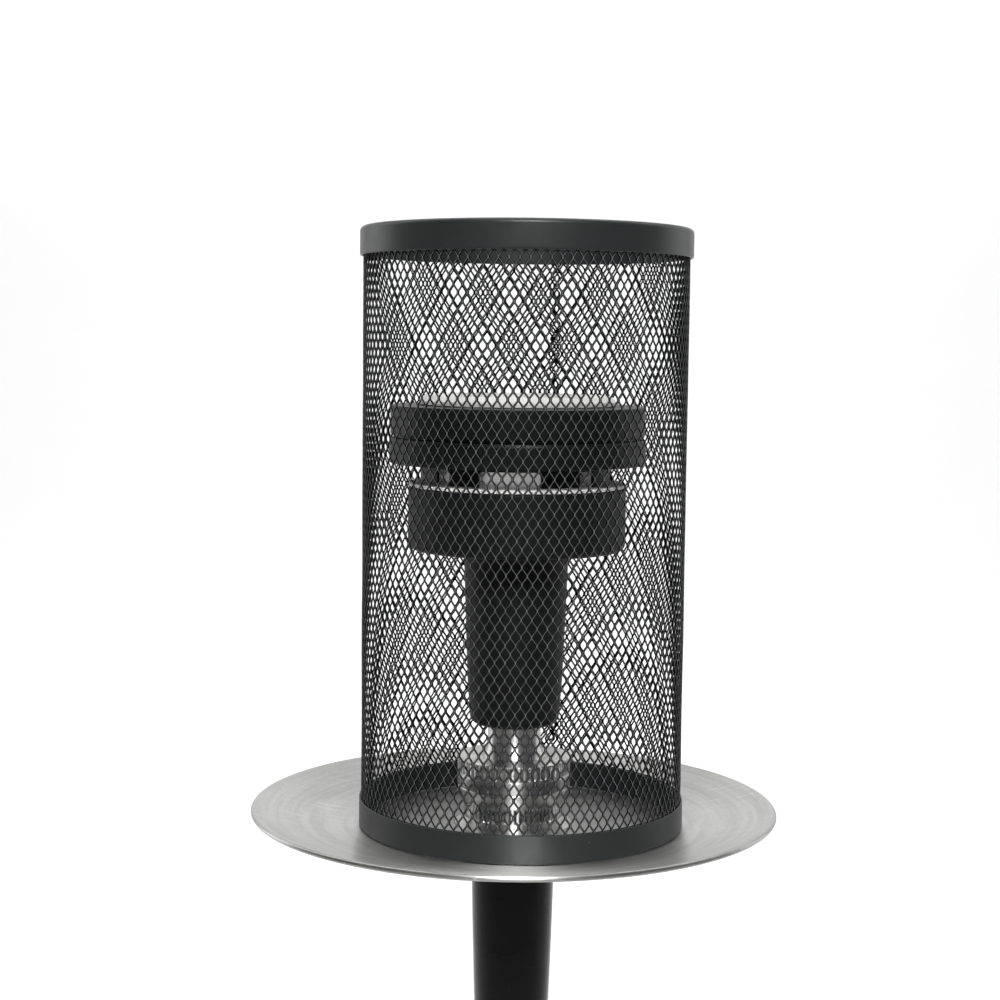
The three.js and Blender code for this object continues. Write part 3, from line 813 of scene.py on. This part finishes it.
def steel_collar():
    c = COLLAR
    foot, radius, wide, (low, high) = foot_of("head_collar"), c["radius"], c["wide"], c["grip"]
    start = high + c["waist_gap"]
    rise = c["top"] - c["waist_gap"] - start
    waist = curve(8, lambda t: (radius + (wide - radius) * t ** c["waist_power"], start + rise * t))
    profile = [
        (c["tube_seat"], foot), (radius, foot), (radius, c["flange_foot"]), (c["flange"], c["flange_foot"]),
        (c["flange"], c["flange_top"]), (c["undercut"], c["flange_top"]),
        (c["undercut"], c["undercut_top"]), (radius - 0.2, c["undercut_top"]), (radius, low - 0.2),
        *grip_rows(radius, low, high), *waist, (wide - c["top_taper"], c["top"]), (c["socket"], c["top"]),
        (c["socket"], c["socket_floor"]), (c["tube_bore"], c["socket_floor"]),
        (c["tube_bore"], c["tube_stop"]), (c["tube_seat"], c["tube_stop"]),
    ]
    sides, relief = FLUTES["count"] * FLUTES["samples"], flutes(radius, low, high, c["slots"])
    return turned("steel_collar", profile, "steel", "head_collar", 0.12, sides, relief, 2)


def grommet_ring():
    g, foot, top = GROMMET, foot_of("tray_grommet"), top_of("tray_grommet")
    profile = [
        (g["bore"], foot), (g["flange"], foot), (g["flange"], g["flange_top"]),
        (g["upstand"], g["flange_top"]), (g["upstand"], top), (g["bore"], top),
    ]
    return turned("tray_ring", profile, "rubber", "tray_grommet", 0.15, 128)


SEAT = {"bore": 8.3, "hub": 14.5, "hub_top": -5.4, "radius": 26.5}
SLEEVE = {"bore": 9.5, "mean": 13.6, "swell": 1.3, "half_wave": 120}
SEAL_BORE = 9.6
COUPLING = {
    "radius": 15.0, "neck": 13.4, "shoulder": 14.0, "socket": 10.5, "web": (11.7, 13.7), "seat": 8.3,
    "bore": 6.5, "groove": (3.3, 3.9), "groove_depth": 0.5, "groove_bevel": 0.3, "threads": 6,
    "thread_start": 1.3,
}


def seat_flange():
    s, foot, top = SEAT, foot_of("tray_seat"), top_of("tray_seat")
    profile = [
        (s["bore"], foot), (s["hub"], foot), (s["hub"], s["hub_top"]), (s["radius"], s["hub_top"]),
        (s["radius"], top), (s["bore"], top),
    ]
    return turned("seat_flange", profile, "steel", "tray_seat", 0.5, 128)


def stem_sleeve():
    foot, top, bore = foot_of("sleeve"), top_of("sleeve"), SLEEVE["bore"]

    def radius_at(z):
        return SLEEVE["mean"] + SLEEVE["swell"] * math.cos(math.pi * z / SLEEVE["half_wave"])

    side = curve(40, lambda t: (radius_at(foot + (top - foot) * t), foot + (top - foot) * t))
    return turned("stem_sleeve", [(bore, foot), *side, (bore, top)], "sleeve", "sleeve", 0.7, 128)


def seal_ring(name, node):
    foot, top, outer = foot_of(node), top_of(node), radius_of(node)
    profile = [(SEAL_BORE, foot), (outer, foot), (outer, top), (SEAL_BORE, top)]
    return turned(name, profile, "rubber", node, 0.4, 96)


def foot_coupling():
    c, foot, top = COUPLING, foot_of("foot_ferrule"), top_of("foot_ferrule")
    radius, socket, depth, bevel = c["radius"], c["socket"], c["groove_depth"], c["groove_bevel"]
    groove_low, groove_high = (foot + height for height in c["groove"])
    web_low, web_high = (foot + height for height in c["web"])
    threads = []
    for i in range(c["threads"]):
        z = web_low - c["thread_start"] - THREAD["pitch"] * i
        root, rise = socket + THREAD["depth"], z - THREAD["depth"]
        fall = rise - THREAD["crest"]
        threads += [(socket, z), (root, rise), (root, fall), (socket, fall - THREAD["depth"])]
    profile = [
        (socket, foot), (radius, foot), (radius, groove_low - bevel), (radius - depth, groove_low),
        (radius - depth, groove_high), (radius, groove_high + bevel),
        (radius, foot + c["shoulder"]), (c["neck"], top), (c["seat"], top), (c["seat"], web_high),
        (c["bore"], web_high), (c["bore"], web_low), (socket, web_low), *threads,
    ]
    return turned("foot_coupling", profile, "steel", "foot_ferrule", 0.25, 128)


# ------------------------------------------------------------------ the object

def build():
    stand_for(top_band(), "cover_top_band")
    stand_for(bottom_band(), "cover_bottom_band")
    stand_for(mesh_wall(), "cover_mesh")
    stand_for(tray_dish(), "tray")
    stand_for(vent_disc(), "vent_disc")
    stand_for(vent_rivet(), "vent_rivet")
    stand_for(lid(), "hmd_lid")
    stand_for(cup_ring(), "hmd_body")
    stand_for(skirt(), "heat_skirt")
    stand_for(plate(), "heat_plate")
    stand_for(clay_bowl(), "bowl")
    stand_for(neck_grommet(), "bowl_grommet")
    stand_for(steel_adapter(), "bowl_adapter")
    stand_for(steel_collar(), "head_collar")
    stand_for(grommet_ring(), "tray_grommet")
    stand_for(seat_flange(), "tray_seat")
    stand_for(stem_sleeve(), "sleeve")
    stand_for(seal_ring("upper_seal", "upper_sleeve_seal"), "upper_sleeve_seal")
    stand_for(seal_ring("lower_seal", "lower_sleeve_seal"), "lower_sleeve_seal")
    stand_for(foot_coupling(), "foot_ferrule")
    kept = {
        "inner_tube": "steel", "upper_sleeve_bush": "bush", "lower_sleeve_bush": "bush",
        "adapter_seal": "rubber", "socket_seal": "rubber",
    }
    for node, finish in kept.items():
        carried = frame["nodes"][node].data
        carried.materials.clear()
        carried.materials.append(FINISHES[finish])


# ------------------------------------------------------------------ studio

CAMERA = {
    "place": (-0.006, -0.6553, FLOOR + 0.1712),
    "down": math.radians(4.812),
    "roll": math.radians(0.618),
    "lens": 66.67,
    "sensor": 36.0,
}


def camera():
    view = bpy.data.cameras.new("camera")
    view.lens = CAMERA["lens"]
    view.sensor_width = CAMERA["sensor"]
    view.clip_start = 0.01
    seer = bpy.data.objects.new("camera", view)
    aim = Matrix.Rotation(math.pi / 2 - CAMERA["down"], 4, "X") @ Matrix.Rotation(CAMERA["roll"], 4, "Z")
    seer.matrix_world = Matrix.Translation(CAMERA["place"]) @ aim
    bpy.context.scene.collection.objects.link(seer)
    bpy.context.scene.camera = seer


def panel(name, place, target, size, power, spread, only=()):
    """A soft light panel, facing a target; spread is its beam's angle in degrees.

    A panel that lights only some pieces is flagged off from all the others.
    """
    light = bpy.data.lights.new(name, "AREA")
    light.shape = "RECTANGLE"
    light.size, light.size_y = size
    light.energy = power
    light.spread = math.radians(spread)
    lamp = bpy.data.objects.new(name, light)
    lamp.location = place
    lamp.rotation_euler = (Vector(target) - Vector(place)).to_track_quat("-Z", "Y").to_euler()
    bpy.context.scene.collection.objects.link(lamp)
    if only:
        lit = bpy.data.collections.new(name + "_lit")
        for piece in only:
            lit.objects.link(bpy.data.objects[piece])
        lamp.light_linking.receiver_collection = lit


def sweep():
    """A pale floor that curves up into a backdrop."""
    front, back, bend, height, half = -4.0, 1.6, 0.5, 2.6, 4.0
    line = [(front, 0.0)]
    turns = [math.pi / 2 * i / 12 for i in range(13)]
    line += [(back + bend * math.sin(a), bend - bend * math.cos(a)) for a in turns]
    line += [(back + bend, height)]
    vertices = [(x, y, z) for y, z in line for x in (-half, half)]
    faces = [(2 * i, 2 * i + 1, 2 * i + 3, 2 * i + 2) for i in range(len(line) - 1)]
    mesh = bpy.data.meshes.new("studio_sweep")
    mesh.from_pydata(vertices, [], faces)
    mesh.shade_smooth()
    mesh.materials.append(studio_white("studio_white"))
    floor = bpy.data.objects.new("studio_sweep", mesh)
    bpy.context.scene.collection.objects.link(floor)


def studio():
    scene = bpy.context.scene
    scene.view_settings.view_transform = "Standard"
    world = bpy.data.worlds.new("studio")
    world.use_nodes = True
    world.node_tree.nodes["Background"].inputs["Color"].default_value = (1, 1, 1, 1)
    world.node_tree.nodes["Background"].inputs["Strength"].default_value = 0.14
    scene.world = world
    aim = (0, 0, FLOOR + 0.08)
    panel("key", (0.06, -1.25, FLOOR + 0.95), aim, (0.32, 0.42), 1.4, 34)
    panel("left", (-1.1, 0.6, FLOOR + 0.4), aim, (0.6, 1.2), 1.8, 120)
    panel("right", (1.1, 0.6, FLOOR + 0.4), aim, (0.6, 1.2), 1.2, 120)
    panel("top", (0, 0.25, FLOOR + 1.5), aim, (1.2, 1.0), 1.0, 60)
    coals = (0, 0, FLOOR + 0.126)
    panel("windows", (-0.2, -0.88, FLOOR + 0.12), coals, (0.6, 0.25), 0.9, 60, ("coal_plate",))
    panel("tray_front", (0.01, -0.35, FLOOR + 1.2), (0, -0.08, FLOOR), (0.06, 0.3), 2.0, 60, ("tray_dish",))
    panel("backdrop", (0, 0.75, FLOOR + 1.5), (0, 2.1, 0.2), (3.0, 0.8), 42, 180)


build()
camera()
sweep()
studio()
